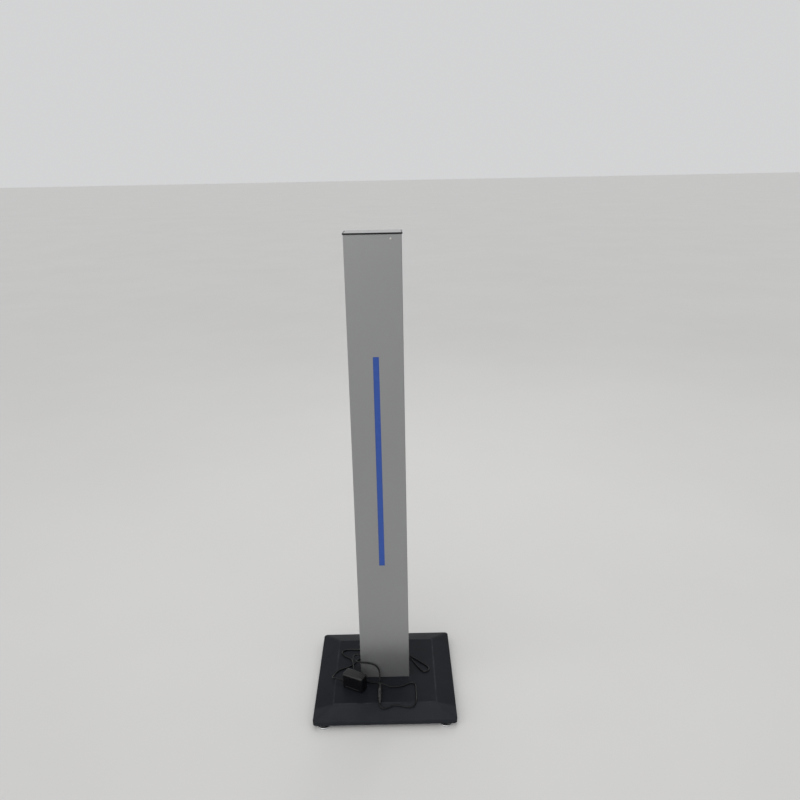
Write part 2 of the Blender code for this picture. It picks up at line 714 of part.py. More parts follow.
def rest_height(x, y):
    """Height of the cover's upper surface, with the plateau's edge passed a little high."""
    out = max(abs(x), abs(y)) - (BASE_SIDE / 2 - PLATEAU_INSET) - EDGE_BRIDGE
    slope = (PLATEAU_TOP - COVER_LIP_TOP) / PLATEAU_INSET
    return PLATEAU_TOP - max(0.0, out) * slope


def laid(x, y, lift=0.0):
    """A point of the lead's centre line, lying on the cover or lifted off it."""
    return (x, y, rest_height(x, y) + CORD_D / 2 + GAP + lift)


PIGTAIL_ROUTE = [
    (-0.0700, GROMMET_Y, GROMMET_Z), (-0.0780, GROMMET_Y, GROMMET_Z), (-0.0875, -0.0110, 0.1004),
    (-0.0930, -0.0200, 0.1006), (-0.0905, -0.0310, 0.1002), (-0.0820, -0.0385, 0.0990),
    (-0.0700, -0.0405, 0.0970), (-0.0580, -0.0398, 0.0948), (-0.0437, -0.0392, 0.0918),
    (-0.0320, -0.0396, 0.0872), (-0.0225, -0.0408, 0.0795), (-0.0175, -0.0435, 0.0690),
    (-0.0160, -0.0490, 0.0585), (-0.0155, -0.0575, 0.0505), (-0.0152, -0.0645, 0.0466),
    (CONNECTOR_X, -0.0712, CONNECTOR_Z)]

LEAD_ROUTE = [
    (CONNECTOR_X, -0.1548, CONNECTOR_Z), (-0.0144, -0.1600, 0.0444), laid(-0.0080, -0.1664, 0.0012),
    laid(0.0080, -0.1642), laid(0.0300, -0.1566), laid(0.0680, -0.1636), laid(0.0835, -0.1565, 0.0012),
    laid(0.0886, -0.1330, 0.0003), laid(0.0886, -0.0960), laid(0.0855, -0.0715), laid(0.0730, -0.0672),
    laid(0.0500, -0.0790), laid(0.0190, -0.0830, 0.0006), laid(0.0000, -0.0802, 0.0062),
    laid(-0.0155, -0.0772, 0.0098), laid(-0.0300, -0.0715, 0.0060), laid(-0.0480, -0.0605, 0.0012),
    laid(-0.0870, -0.0280, 0.0008), laid(-0.0985, 0.0230, 0.0048), laid(-0.1050, 0.0470, 0.0008),
    laid(-0.1270, 0.0660), laid(-0.1345, 0.0830), laid(-0.1160, 0.0950), laid(-0.0650, 0.0920),
    laid(0.0400, 0.0840), laid(0.0790, 0.0540), laid(0.1110, 0.0225), laid(0.1295, 0.0000),
    laid(0.1250, -0.0150), laid(0.1110, -0.0150), laid(0.0960, 0.0080), laid(0.0740, 0.0500),
    laid(0.0440, 0.0670), laid(-0.0500, 0.0675), laid(-0.0810, 0.0480), laid(-0.1010, 0.0180),
    laid(-0.1390, -0.0045, 0.0004), laid(-0.1555, -0.0370, 0.0035)]


def adapter_point(x, y, z):
    """A place in the adapter's own axes, as a place in the kiosk's frame."""
    c, s = math.cos(ADAPTER_TURN), math.sin(ADAPTER_TURN)
    return (ADAPTER_AT[0] + c * x - s * y, ADAPTER_AT[1] + s * x + c * y,
            PLATEAU_TOP + GAP + ADAPTER_SIZE[2] / 2 + z)


def set_down(obj):
    """Stand a piece, modelled about the adapter's centre, on the plateau."""
    obj.location = adapter_point(0, 0, 0)
    obj.rotation_euler = (0, 0, ADAPTER_TURN)
    return obj


def adapter():
    length, thick, tall = (v / 2 for v in ADAPTER_SIZE)
    wall = 0.002
    for name, side in (("adapter_front_case", -1), ("adapter_rear_case", 1)):
        lo, hi = sorted((side * thick, side * GAP / 2))
        bm = bmesh.new()
        add_box(bm, (-length, lo, -tall), (length, hi, tall))
        outer = side * thick
        bevel_edges(bm, lambda e, o=outer: (
            abs(e.verts[0].co.y - o) < 1e-6 or abs(e.verts[1].co.y - o) < 1e-6)
            and abs(e.verts[0].co.y - e.verts[1].co.y) < 1e-6, 0.0045, 3)
        bevel_edges(bm, lambda e: abs(e.verts[0].co.y - e.verts[1].co.y) > 0.005
                    and e.is_convex, 0.0020, 2)
        case = link(name, mesh_from(bm, name), DARK_PLASTIC, smooth=True)
        inner = sorted((side * (thick - wall), -side * EPS))
        hollow = boxes(name + "_hollow", [((wall - length, inner[0], wall - tall),
                                           (length - wall, inner[1], tall - wall))], None, 0.001)
        cut(case, set_down(hollow))
        set_down(case)
    circuit = boxes("adapter_circuit", [
        ((-0.0285, -0.0008, -0.0205), (0.0285, 0.0008, 0.0205))], BOARD_GREEN)
    join(circuit, set_down(boxes("adapter_components", [
        ((-0.016, 0.0002, -0.012), (0.006, 0.0125, 0.012)),
        ((0.010, 0.0002, -0.010), (0.020, 0.0110, 0.000)),
        ((-0.026, -0.0110, -0.014), (-0.018, -0.0002, 0.014))], None)))
    set_down(circuit)
    pins = [((sx, thick + GAP, 0.0), (sx, thick + 0.0190, 0.0), 0.0024)
            for sx in (-0.0095, 0.0095)]
    bridge = boxes("adapter_pins", [((-0.0140, thick + GAP, -0.0040),
                                     (0.0140, thick + 0.0018, 0.0040))], NICKEL, 0.0004)
    join(bridge, set_down(rods("adapter_pin_rods", pins, None, 16)))
    set_down(bridge)
    bm = bmesh.new()
    add_rod(bm, (-length - GAP, 0, RELIEF_DROP), (-length - 0.0160, 0, RELIEF_DROP),
            0.0042, 16, 0.0026)
    relief = mesh_from(bm, "adapter_strain_relief")
    set_down(link("adapter_strain_relief", relief, RUBBER, smooth=True))


def connectors():
    """The kiosk's socket and the adapter's plug, mated, lying on the plateau."""
    at = (CONNECTOR_X, 0.0, CONNECTOR_Z)
    r = CONNECTOR_R
    turned("dc_socket", [
        (0.0, 0.1190), (0.0046, 0.1190), (r, 0.1184), (r, 0.0900), (0.0040, 0.0870),
        (0.0027, 0.0715), (0.0, 0.0715)], RUBBER, at=at, axis="-Y", steps=20)
    turned("dc_plug", [
        (0.0, 0.1545), (0.0026, 0.1545), (0.0040, 0.1430), (0.0050, 0.1400), (0.0050, 0.1199),
        (0.0045, 0.1193), (0.0, 0.1193)], RUBBER, at=at, axis="-Y", steps=20)


def cords():
    tube("pigtail", PIGTAIL_ROUTE, CORD_D, RUBBER, 0.009)
    tube("adapter_lead", LEAD_ROUTE + lead_end(), CORD_D, RUBBER, 0.0145)


def lead_end():
    """The last two points: they run straight into the adapter's strain relief."""
    end = -ADAPTER_SIZE[0] / 2 - 0.0164
    return [adapter_point(end - 0.0150, 0, RELIEF_DROP), adapter_point(end, 0, RELIEF_DROP)]


# ------------------------------------------------------------------ assembly
clear_scene()
KIOSK = new_collection("touchscreen_kiosk")
CUTTERS = new_collection("cutters", hidden=True)

GREY_PAINT = material("grey_paint", (0.21, 0.21, 0.215), 0.45)
BLACK_PAINT = material("black_paint", (0.018, 0.019, 0.022), 0.5)
BLACK_PLASTIC = material("black_plastic", (0.012, 0.012, 0.013), 0.4)
DARK_PLASTIC = material("dark_plastic", (0.015, 0.015, 0.016), 0.35)
GLASS = material("black_glass", (0.006, 0.006, 0.007), 0.05)
BLUE_LENS = material("blue_lens", (0.03, 0.10, 0.45), 0.3, emission=0.6)
CHROME = material("chrome", (0.75, 0.75, 0.76), 0.1, metallic=1.0)
NICKEL = material("nickel", (0.62, 0.60, 0.57), 0.25, metallic=1.0)
ZINC = material("zinc", (0.55, 0.56, 0.57), 0.4, metallic=1.0)
CAST = material("dark_steel", (0.10, 0.10, 0.10), 0.6, metallic=0.8)
ALUMINIUM = material("aluminium", (0.70, 0.71, 0.72), 0.35, metallic=1.0)
RUBBER = material("black_rubber", (0.012, 0.012, 0.012), 0.55)
NYLON = material("white_nylon", (0.75, 0.75, 0.72), 0.5)
BOARD_GREEN = material("circuit_board", (0.02, 0.14, 0.05), 0.4)
BOARD_WHITE = material("strip_board", (0.8, 0.8, 0.8), 0.5)

base_cover()
bottom_plate()
ballast_plate()
column_bolts()
levelling_feet()

column_foot_plate()
column_shell()
cable_grommet()

light_channel()
light_lens()
light_board()
light_channel_straps()

equipment_plate()
controller()
light_driver()
terminal_block()
inside_leads()
loom_clips()

top_bezel()
glass_tape()
touch_glass()
display()
bezel_screws()

DOOR_PIVOT = empty("door_pivot", (HINGE_X, KNUCKLE_Y, 0.0))
service_door(DOOR_PIVOT)
hinges(DOOR_PIVOT)
cam_lock(DOOR_PIVOT)

adapter()
connectors()
cords()
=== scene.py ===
"""Touchscreen kiosk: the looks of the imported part.

Every CAD node keeps its shape and gets a procedural finish. Finer pieces replace the base cover,
the levelling feet, the adapter, the inline connector, the cords, the bezel screws, the controller
board and the light strip. Lengths are in metres, in the part's own frame.
"""
import json
import math

import bmesh
import bpy
from mathutils import Matrix, Vector

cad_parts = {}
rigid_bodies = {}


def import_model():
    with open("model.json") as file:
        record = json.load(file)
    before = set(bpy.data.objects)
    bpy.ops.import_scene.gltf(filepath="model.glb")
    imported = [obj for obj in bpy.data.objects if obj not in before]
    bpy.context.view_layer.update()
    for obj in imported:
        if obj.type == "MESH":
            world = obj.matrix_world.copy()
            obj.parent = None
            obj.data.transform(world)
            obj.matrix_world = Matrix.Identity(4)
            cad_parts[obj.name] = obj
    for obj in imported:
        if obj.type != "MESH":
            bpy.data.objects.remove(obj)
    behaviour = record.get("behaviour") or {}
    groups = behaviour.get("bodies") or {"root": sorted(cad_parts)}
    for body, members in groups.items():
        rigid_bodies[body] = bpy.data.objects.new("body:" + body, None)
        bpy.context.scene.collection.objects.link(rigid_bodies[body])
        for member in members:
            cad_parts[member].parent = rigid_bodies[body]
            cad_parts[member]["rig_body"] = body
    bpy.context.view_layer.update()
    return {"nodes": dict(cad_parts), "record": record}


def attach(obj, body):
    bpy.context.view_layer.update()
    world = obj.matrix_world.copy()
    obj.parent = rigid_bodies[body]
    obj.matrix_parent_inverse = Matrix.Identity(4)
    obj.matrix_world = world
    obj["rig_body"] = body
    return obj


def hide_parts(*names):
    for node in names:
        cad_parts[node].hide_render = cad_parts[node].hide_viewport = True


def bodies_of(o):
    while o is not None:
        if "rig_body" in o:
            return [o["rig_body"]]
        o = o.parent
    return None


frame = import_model()
NODES = frame["nodes"]

# ---------------------------------------------------------------- dimensions
GAP = 0.0003                    # left between pieces that touch
BASE_HALF = 0.200
COVER_BOTTOM = 0.012
COVER_LIP_TOP = 0.025           # where the sloping border starts
PLATEAU_TOP = 0.040
PLATEAU_HALF = 0.145
BORDER_SLOPE = (PLATEAU_TOP - COVER_LIP_TOP) / (BASE_HALF - PLATEAU_HALF)
COVER_T = 0.0025
CORNER_R = 0.010
FOOT_X, FOOT_Y = 0.170, 0.1825

CORD_D = 0.004
GROMMET_Y = -0.008
GROMMET_Z = 0.100
EDGE_BRIDGE = 0.0045            # how far past the plateau's edge the lead stays level
CONNECTOR_X = -0.015
CONNECTOR_Z = 0.0455
ADAPTER_HALF = (0.032, 0.016, 0.024)
ADAPTER_AT = (-0.0870, -0.0785)
ADAPTER_TURN = math.radians(-28.0)
RELIEF_DROP = -0.0140           # strain relief below the adapter's middle
RELIEF_END = -0.0484

LIGHT_LOW, LIGHT_HIGH = 0.4115, 1.0150
CHIP_COUNT = 24
CHIP_PITCH = (LIGHT_HIGH - LIGHT_LOW) / CHIP_COUNT
DISPLAY_HALF = (0.0480, 0.0270)
KEY_SLOT_HALF = (0.00095, 0.0033)
CREASE_AT = PLATEAU_HALF + 0.0006
CREASE_HIGHLIGHT_SPAN = (0.0004, 0.0034)   # painted highlight at full strength this near the crease, gone this far from it
FRONT_BORDER = (-PLATEAU_HALF - 0.006, -PLATEAU_HALF + 0.002)   # the painted light on the front border fades out between

# -------------------------------------------------------------------- camera
LENS = 33.4345
SHIFT = (0.0, 0.01875)
EYE = (0.0516, -1.8613, 1.4827)
PITCH = math.radians(18.913)
ROLL = math.radians(-1.1215)
YAW = math.radians(0.2108)


def make_camera():
    """The photo's camera, built from its own right, up and backward axes."""
    flat = Vector((math.sin(YAW), math.cos(YAW), 0.0))
    right = Vector((math.cos(YAW), -math.sin(YAW), 0.0))
    up = Vector((0.0, 0.0, 1.0))
    ahead = flat * math.cos(PITCH) - up * math.sin(PITCH)
    over = up * math.cos(PITCH) + flat * math.sin(PITCH)
    side = right * math.cos(ROLL) + over * math.sin(ROLL)
    top = over * math.cos(ROLL) - right * math.sin(ROLL)
    turn = Matrix((side, top, -ahead)).transposed()
    data = bpy.data.cameras.new("camera")
    data.lens = LENS
    data.sensor_width = 36.0
    data.shift_x, data.shift_y = SHIFT
    camera = bpy.data.objects.new("camera", data)
    bpy.context.scene.collection.objects.link(camera)
    camera.matrix_world = Matrix.Translation(EYE) @ turn.to_4x4()
    bpy.context.scene.camera = camera


# ----------------------------------------------------------------- materials
def new_material(name):
    mat = bpy.data.materials.new(name)
    mat.use_nodes = True
    return mat, mat.node_tree, mat.node_tree.nodes["Principled BSDF"]


def own_place(tree):
    """The piece's own coordinates, which move with it."""
    return tree.nodes.new("ShaderNodeTexCoord").outputs["Object"]


def own_axes(tree, coord):
    """A vector's X, Y and Z."""
    place = tree.nodes.new("ShaderNodeSeparateXYZ")
    tree.links.new(coord, place.inputs["Vector"])
    return place.outputs


def base_paint(mat):
    """A finished material's tree, its base colour socket and what feeds it."""
    target = mat.node_tree.nodes["Principled BSDF"].inputs["Base Color"]
    return mat.node_tree, target, target.links[0].from_socket


def noise(tree, coord, scale, detail=3.0, rough=0.55, stretch=None):
    """Cloudy noise, drawn out along an axis where stretch is under 1."""
    source = coord
    if stretch:
        mapping = tree.nodes.new("ShaderNodeMapping")
        mapping.inputs["Scale"].default_value = stretch
        tree.links.new(coord, mapping.inputs["Vector"])
        source = mapping.outputs["Vector"]
    node = tree.nodes.new("ShaderNodeTexNoise")
    node.inputs["Scale"].default_value = scale
    node.inputs["Detail"].default_value = detail
    node.inputs["Roughness"].default_value = rough
    tree.links.new(source, node.inputs["Vector"])
    return node.outputs["Fac"]


def spread(tree, value, low, high, start=0.3, stop=0.7):
    """Map start..stop to low..high, and clamp what lies past either end."""
    node = tree.nodes.new("ShaderNodeMapRange")
    node.inputs["From Min"].default_value = start
    node.inputs["From Max"].default_value = stop
    node.inputs["To Min"].default_value = low
    node.inputs["To Max"].default_value = high
    tree.links.new(value, node.inputs["Value"])
    return node.outputs["Result"]


def mixed(tree, factor, first, second):
    """The first colour where the factor is 0, and the second where it is 1."""
    node = tree.nodes.new("ShaderNodeMix")
    node.data_type = "RGBA"
    tree.links.new(factor, node.inputs["Factor"])
    for socket, colour in (("A", first), ("B", second)):
        if isinstance(colour, tuple):
            node.inputs[socket].default_value = (*colour, 1.0)
        else:
            tree.links.new(colour, node.inputs[socket])
    return node.outputs["Result"]


def maths(tree, first, second, operation="MULTIPLY"):
    """A sum on two values, each a number or a socket."""
    node = tree.nodes.new("ShaderNodeMath")
    node.operation = operation
    for socket, value in zip(node.inputs, (first, second)):
        if isinstance(value, float):
            socket.default_value = value
        else:
            tree.links.new(value, socket)
    return node.outputs["Value"]


def size_of(tree, value):
    return maths(tree, value, 0.0, "ABSOLUTE")


def inside_box(tree, spans):
    """One where each value is within half of its centre, zero elsewhere."""
    result = None
    for value, centre, half in spans:
        off = size_of(tree, maths(tree, value, centre, "SUBTRACT"))
        near = maths(tree, off, half, "LESS_THAN")
        result = near if result is None else maths(tree, result, near)
    return result


def finish_material(name, colours, rough, grain, mottle, metallic=0.0, dust=0.0, stretch=None,
                    **sockets):
    """Two mottled colours, uneven roughness, a fine grain (scale, depth) and dust facing up."""
    mat, tree, shader = new_material(name)
    shader.inputs["Metallic"].default_value = metallic
    for socket, value in sockets.items():
        shader.inputs[socket.replace("_", " ")].default_value = value
    coord = own_place(tree)
    cloudy = spread(tree, noise(tree, coord, mottle, 4.0, 0.6, stretch), 0.0, 1.0)
    colour = mixed(tree, cloudy, *colours)
    if dust:
        normal = own_axes(tree, tree.nodes.new("ShaderNodeNewGeometry").outputs["Normal"])
        facing = spread(tree, normal["Z"], 0.0, dust, 0.55, 1.0)
        patches = spread(tree, noise(tree, coord, 38.0, 6.0, 0.7), 0.1, 1.0, 0.42, 0.66)
        colour = mixed(tree, maths(tree, facing, patches), colour, (0.22, 0.21, 0.20))
    tree.links.new(colour, shader.inputs["Base Color"])
    fine = noise(tree, coord, grain[0], 2.0, 0.5, stretch)
    patch_noise = noise(tree, coord, mottle * 3.1, 5.0, 0.65, stretch)
    tree.links.new(spread(tree, patch_noise, *rough), shader.inputs["Roughness"])
    bump = tree.nodes.new("ShaderNodeBump")
    bump.inputs["Distance"].default_value = grain[1]
    tree.links.new(fine, bump.inputs["Height"])
    tree.links.new(bump.outputs["Normal"], shader.inputs["Normal"])
    return mat


def lens_material():
    """Blue diffuser: lit from behind, a little brighter near each light chip."""
    mat, tree, shader = new_material("blue_lens")
    coord = own_place(tree)
    turn = maths(tree, own_axes(tree, coord)["Z"], 2 * math.pi / CHIP_PITCH)
    wave = maths(tree, turn, 0.0, "COSINE")
    glow = spread(tree, wave, 0.0, 1.0, -1.0, 1.0)
    cloudy = spread(tree, noise(tree, coord, 60.0), 0.0, 1.0)
    tree.links.new(mixed(tree, cloudy, (0.007, 0.030, 0.175), (0.009, 0.036, 0.195)),
                   shader.inputs["Base Color"])
    tree.links.new(mixed(tree, glow, (0.028, 0.105, 0.36), (0.032, 0.110, 0.39)),
                   shader.inputs["Emission Color"])
    shader.inputs["Emission Strength"].default_value = 0.245
    tree.links.new(spread(tree, noise(tree, coord, 400.0), 0.28, 0.36),
                   shader.inputs["Roughness"])
    return mat


def glass_material():
    """Black glass: a printed border round the dark, faintly blue-grey display, and smears."""
    mat = finish_material(
        "touch_glass", ((0.0022, 0.0023, 0.0026), (0.0032, 0.0033, 0.0037)), (0.03, 0.15),
        (140.0, 0.000001), 26.0, dust=0.006, Coat_Weight=0.4, Coat_Roughness=0.03)
    tree, target, printed = base_paint(mat)
    at = own_axes(tree, own_place(tree))
    display = inside_box(tree, ((at["X"], 0.0, DISPLAY_HALF[0]), (at["Y"], 0.0, DISPLAY_HALF[1])))
    tree.links.new(mixed(tree, display, printed, (0.0105, 0.0115, 0.0140)), target)
    return mat


def cover_material():
    """The tray's black paint, with a painted highlight along the plateau's crease and painted light
    on the front border.
    """
    mat = BLACK_PAINT.copy()
    mat.name = "black_paint_painted_light"
    tree, target, paint = base_paint(mat)
    coord = own_place(tree)
    at = own_axes(tree, coord)
    out = maths(tree, size_of(tree, at["X"]), size_of(tree, at["Y"]), "MAXIMUM")
    off = size_of(tree, maths(tree, out, CREASE_AT, "SUBTRACT"))
    # Painted highlight: a lighter, patchy band along the plateau's crease, standing in for light
    # caught by the rounded crease.
    line = spread(tree, off, 1.0, 0.0, *CREASE_HIGHLIGHT_SPAN)
    patch_noise = spread(tree, noise(tree, coord, 22.0, 6.0, 0.75), 0.0, 1.0, 0.38, 0.66)
    # Painted light: the front border is painted lighter in patches, as where light from the front
    # falls on it.
    front = spread(tree, at["Y"], 1.0, 0.0, *FRONT_BORDER)
    painted_front_light = spread(tree, noise(tree, coord, 11.0, 6.0, 0.7), 0.55, 1.0, 0.36, 0.64)
    paint = mixed(tree, maths(tree, front, painted_front_light), paint, (0.0195, 0.0215, 0.0250))
    tree.links.new(mixed(tree, maths(tree, line, patch_noise), paint, (0.030, 0.032, 0.037)), target)
    return mat


# No range of roughness crosses about 0.27: the fast render draws specks where one does.
GREY_PAINT = finish_material(
    "grey_paint", ((0.290, 0.292, 0.296), (0.302, 0.304, 0.306)), (0.285, 0.315),
    (700.0, 0.000007), 5.0, metallic=0.74, stretch=(1.0, 1.0, 0.35))
BLACK_PAINT = finish_material(
    "black_paint", ((0.0092, 0.0101, 0.0127), (0.0110, 0.0121, 0.0148)), (0.30, 0.40),
    (1100.0, 0.00004), 14.0, dust=0.006, Specular_IOR_Level=0.045)
COVER_PAINT = cover_material()
BLACK_PLASTIC = finish_material(
    "black_plastic", ((0.0028, 0.0029, 0.0034), (0.0042, 0.0043, 0.0050)), (0.16, 0.25),
    (2200.0, 0.00002), 30.0, dust=0.006, Specular_IOR_Level=0.34)
RUBBER = finish_material(
    "black_rubber", ((0.0016, 0.0017, 0.0020), (0.0024, 0.0025, 0.0029)), (0.12, 0.24),
    (1600.0, 0.00001), 40.0, Specular_IOR_Level=0.20)
CHROME = finish_material(
    "chrome", ((0.56, 0.57, 0.58), (0.63, 0.63, 0.63)), (0.06, 0.17),
    (300.0, 0.000004), 60.0, metallic=1.0)
GLOSS_PLASTIC = finish_material(
    "black_plastic_gloss", ((0.0030, 0.0031, 0.0036), (0.0044, 0.0045, 0.0052)), (0.07, 0.15),
    (2200.0, 0.00001), 30.0, Specular_IOR_Level=0.60)
NICKEL = finish_material(
    "nickel", ((0.56, 0.54, 0.51), (0.64, 0.62, 0.58)), (0.285, 0.36),
    (1800.0, 0.00001), 50.0, metallic=1.0)
ZINC = finish_material(
    "zinc_plated", ((0.46, 0.47, 0.49), (0.60, 0.60, 0.58)), (0.30, 0.48),
    (900.0, 0.00002), 35.0, metallic=1.0)
DARK_STEEL = finish_material(
    "dark_steel", ((0.060, 0.058, 0.056), (0.115, 0.110, 0.105)), (0.45, 0.65),
    (420.0, 0.00008), 28.0, metallic=0.85)
ALUMINIUM = finish_material(
    "aluminium", ((0.62, 0.63, 0.64), (0.72, 0.72, 0.73)), (0.285, 0.38),
    (2600.0, 0.00002), 24.0, metallic=1.0, stretch=(1.0, 1.0, 0.03))
NYLON = finish_material(
    "white_nylon", ((0.66, 0.65, 0.60), (0.74, 0.73, 0.69)), (0.38, 0.50), (1500.0, 0.00002), 40.0)
BOARD_GREEN = finish_material(
    "circuit_board", ((0.010, 0.085, 0.030), (0.018, 0.125, 0.048)), (0.285, 0.38),
    (700.0, 0.00002), 160.0, stretch=(1.0, 1.0, 0.25))
BOARD_WHITE = finish_material(
    "strip_board", ((0.66, 0.67, 0.67), (0.75, 0.75, 0.75)), (0.32, 0.42), (900.0, 0.00001), 60.0)
TOUCH_GLASS = glass_material()
CHIP_GEL = finish_material(
    "chip_gel", ((0.62, 0.55, 0.10), (0.70, 0.62, 0.15)), (0.285, 0.34), (900.0, 0.00001), 90.0)
BLUE_LENS = lens_material()

SLOT_FINISH = {
    "grey_paint": GREY_PAINT, "black_paint": BLACK_PAINT, "zinc_plated": ZINC,
    "dark_steel": DARK_STEEL, "chrome": CHROME, "nickel": NICKEL, "black_rubber": RUBBER,
    "black_plastic": BLACK_PLASTIC, "touch_glass": TOUCH_GLASS, "blue_lens": BLUE_LENS,
    "aluminium": ALUMINIUM, "circuit_board": BOARD_GREEN, "white_nylon": NYLON}


# ------------------------------------------------------------------- helpers
def body_of(node):
    """The name of the body that a CAD node is on."""
    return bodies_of(NODES[node])[0]


def add(name, mesh, mats, body, nodes=(), smooth=35.0):
    """A piece on a body, smooth below the given angle, in place of the given CAD nodes."""
    for mat in mats:
        mesh.materials.append(mat)
    mesh.shade_smooth()
    mesh.set_sharp_from_angle(angle=math.radians(smooth))
    obj = bpy.data.objects.new(name, mesh)
    bpy.context.scene.collection.objects.link(obj)
    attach(obj, body)
    if nodes:
        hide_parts(*nodes)


def mesh_from(bm, name, place=None):
    """The finished mesh, its faces outward, moved to its place."""
    if place is not None:
        bm.transform(place)
    bmesh.ops.recalc_face_normals(bm, faces=bm.faces)
    mesh = bpy.data.meshes.new(name)
    bm.to_mesh(mesh)
    bm.free()
    return mesh


def rounded(hx, hy, r, steps):
    """A rounded rectangle's outline, anticlockwise."""
    out = []
    for cx, cy, start in ((hx - r, hy - r, 0), (r - hx, hy - r, 90),
                          (r - hx, r - hy, 180), (hx - r, r - hy, 270)):
        for i in range(steps + 1):
            a = math.radians(start + 90 * i / steps)
            out.append((cx + r * math.cos(a), cy + r * math.sin(a)))
    return out


def circle(r, steps):
    return [(r * math.cos(2 * math.pi * i / steps), r * math.sin(2 * math.pi * i / steps))
            for i in range(steps)]


def hexagon(flat, steps):
    """A hexagon of points, evenly spread by angle, with the given half width over its flats."""
    points = []
    for i in range(steps):
        a = 2 * math.pi * i / steps
        off = (a + math.pi / 6) % (math.pi / 3) - math.pi / 6
        r = flat / math.cos(off)
        points.append((r * math.cos(a), r * math.sin(a)))
    return points


def loft(bm, rings):
    """Skin outlines [(points, height)], with a cap at each end."""
    loops = [[bm.verts.new((x, y, h)) for x, y in points] for points, h in rings]
    for low, high in zip(loops, loops[1:]):
        for i in range(len(low)):
            j = (i + 1) % len(low)
            bm.faces.new((low[i], low[j], high[j], high[i]))
    bm.faces.new(list(reversed(loops[0])))
    bm.faces.new(loops[-1])


def turned(name, profile, place, mats, body, nodes, steps):
    """A piece turned from a profile [(radius, height)]."""
    bm = bmesh.new()
    loft(bm, [(circle(r, steps), h) for r, h in profile])
    add(name, mesh_from(bm, name, place), mats, body, nodes)


def arc(cx, cy, r, start, stop, steps):
    """Points (radius, height) of a profile's rounding."""
    out = []
    for i in range(steps + 1):
        a = math.radians(start + (stop - start) * i / steps)
        out.append((cx + r * math.cos(a), cy + r * math.sin(a)))
    return out


def block(bm, lo, hi, bevel, segments, mat=0):
    """Add a box between two corners, with rounded edges where bevel isn't 0."""
    lo, hi = Vector(lo), Vector(hi)
    size = hi - lo
    place = Matrix.Translation((lo + hi) / 2) @ Matrix.Diagonal((*size, 1.0))
    verts = bmesh.ops.create_cube(bm, size=1.0, matrix=place)["verts"]
    for vert in verts:
        for face in vert.link_faces:
            face.material_index = mat
    if bevel:
        edges = dict.fromkeys(e for v in verts for e in v.link_edges)   # once each, in order
        made = bmesh.ops.bevel(bm, geom=list(edges), offset=bevel, segments=segments,
                               profile=0.5, affect="EDGES", clamp_overlap=True, material=-1)
        for face in made["faces"]:
            face.material_index = mat


# --------------------------------------------------------------------- cords
def rest_height(x, y):
    """The cover's height where the lead lies: level, then down the border past the bridge."""
    out = max(abs(x), abs(y)) - PLATEAU_HALF - EDGE_BRIDGE
    return PLATEAU_TOP - max(0.0, out) * BORDER_SLOPE


def laid(x, y, lift=0.0):
    """A point of the lead's centre line, lying on the cover or lifted off it."""
    return (x, y, rest_height(x, y) + CORD_D / 2 + GAP + lift)


def adapter_point(x, y, z):
    """A point given from the adapter's middle, along its length, thickness and height."""
    c, s = math.cos(ADAPTER_TURN), math.sin(ADAPTER_TURN)
    return (ADAPTER_AT[0] + c * x - s * y, ADAPTER_AT[1] + s * x + c * y,
            PLATEAU_TOP + GAP + ADAPTER_HALF[2] + z)


PIGTAIL_ROUTE = [
    (-0.0700, GROMMET_Y, GROMMET_Z), (-0.0780, GROMMET_Y, GROMMET_Z), (-0.0875, -0.0110, 0.1004),
    (-0.0930, -0.0200, 0.1006), (-0.0905, -0.0310, 0.1002), (-0.0820, -0.0385, 0.0990),
    (-0.0700, -0.0405, 0.0970), (-0.0580, -0.0398, 0.0948), (-0.0437, -0.0392, 0.0918),
    (-0.0320, -0.0396, 0.0872), (-0.0225, -0.0408, 0.0795), (-0.0175, -0.0435, 0.0690),
    (-0.0160, -0.0490, 0.0585), (-0.0155, -0.0575, 0.0505), (-0.0152, -0.0645, 0.0466),
    (CONNECTOR_X, -0.0712, CONNECTOR_Z)]

LEAD_ROUTE = [
    (CONNECTOR_X, -0.1548, CONNECTOR_Z), (-0.0144, -0.1600, 0.0444),
    laid(-0.0080, -0.1664, 0.0012), laid(0.0080, -0.1642), laid(0.0300, -0.1566),
    laid(0.0680, -0.1636), laid(0.0835, -0.1565, 0.0012), laid(0.0886, -0.1330, 0.0003),
    laid(0.0886, -0.0960), laid(0.0855, -0.0715), laid(0.0730, -0.0672),
    laid(0.0500, -0.0790), laid(0.0190, -0.0830, 0.0006), laid(0.0000, -0.0802, 0.0062),
    laid(-0.0155, -0.0772, 0.0098), laid(-0.0300, -0.0715, 0.0060), laid(-0.0480, -0.0605, 0.0012),
    laid(-0.0870, -0.0280, 0.0008), laid(-0.0985, 0.0230, 0.0048), laid(-0.1050, 0.0470, 0.0008),
    laid(-0.1270, 0.0660), laid(-0.1345, 0.0830), laid(-0.1160, 0.0950), laid(-0.0650, 0.0920),
    laid(0.0400, 0.0840), laid(0.0790, 0.0540), laid(0.1110, 0.0225), laid(0.1295, 0.0000),
    laid(0.1250, -0.0150), laid(0.1110, -0.0150), laid(0.0960, 0.0080), laid(0.0740, 0.0500),
    laid(0.0440, 0.0670), laid(-0.0500, 0.0675), laid(-0.0810, 0.0480), laid(-0.1010, 0.0180),
    laid(-0.1390, -0.0045, 0.0004), laid(-0.1555, -0.0370, 0.0035),
    adapter_point(RELIEF_END - 0.0150, 0, RELIEF_DROP), adapter_point(RELIEF_END, 0, RELIEF_DROP)]

ROUTE_STEPS = 8


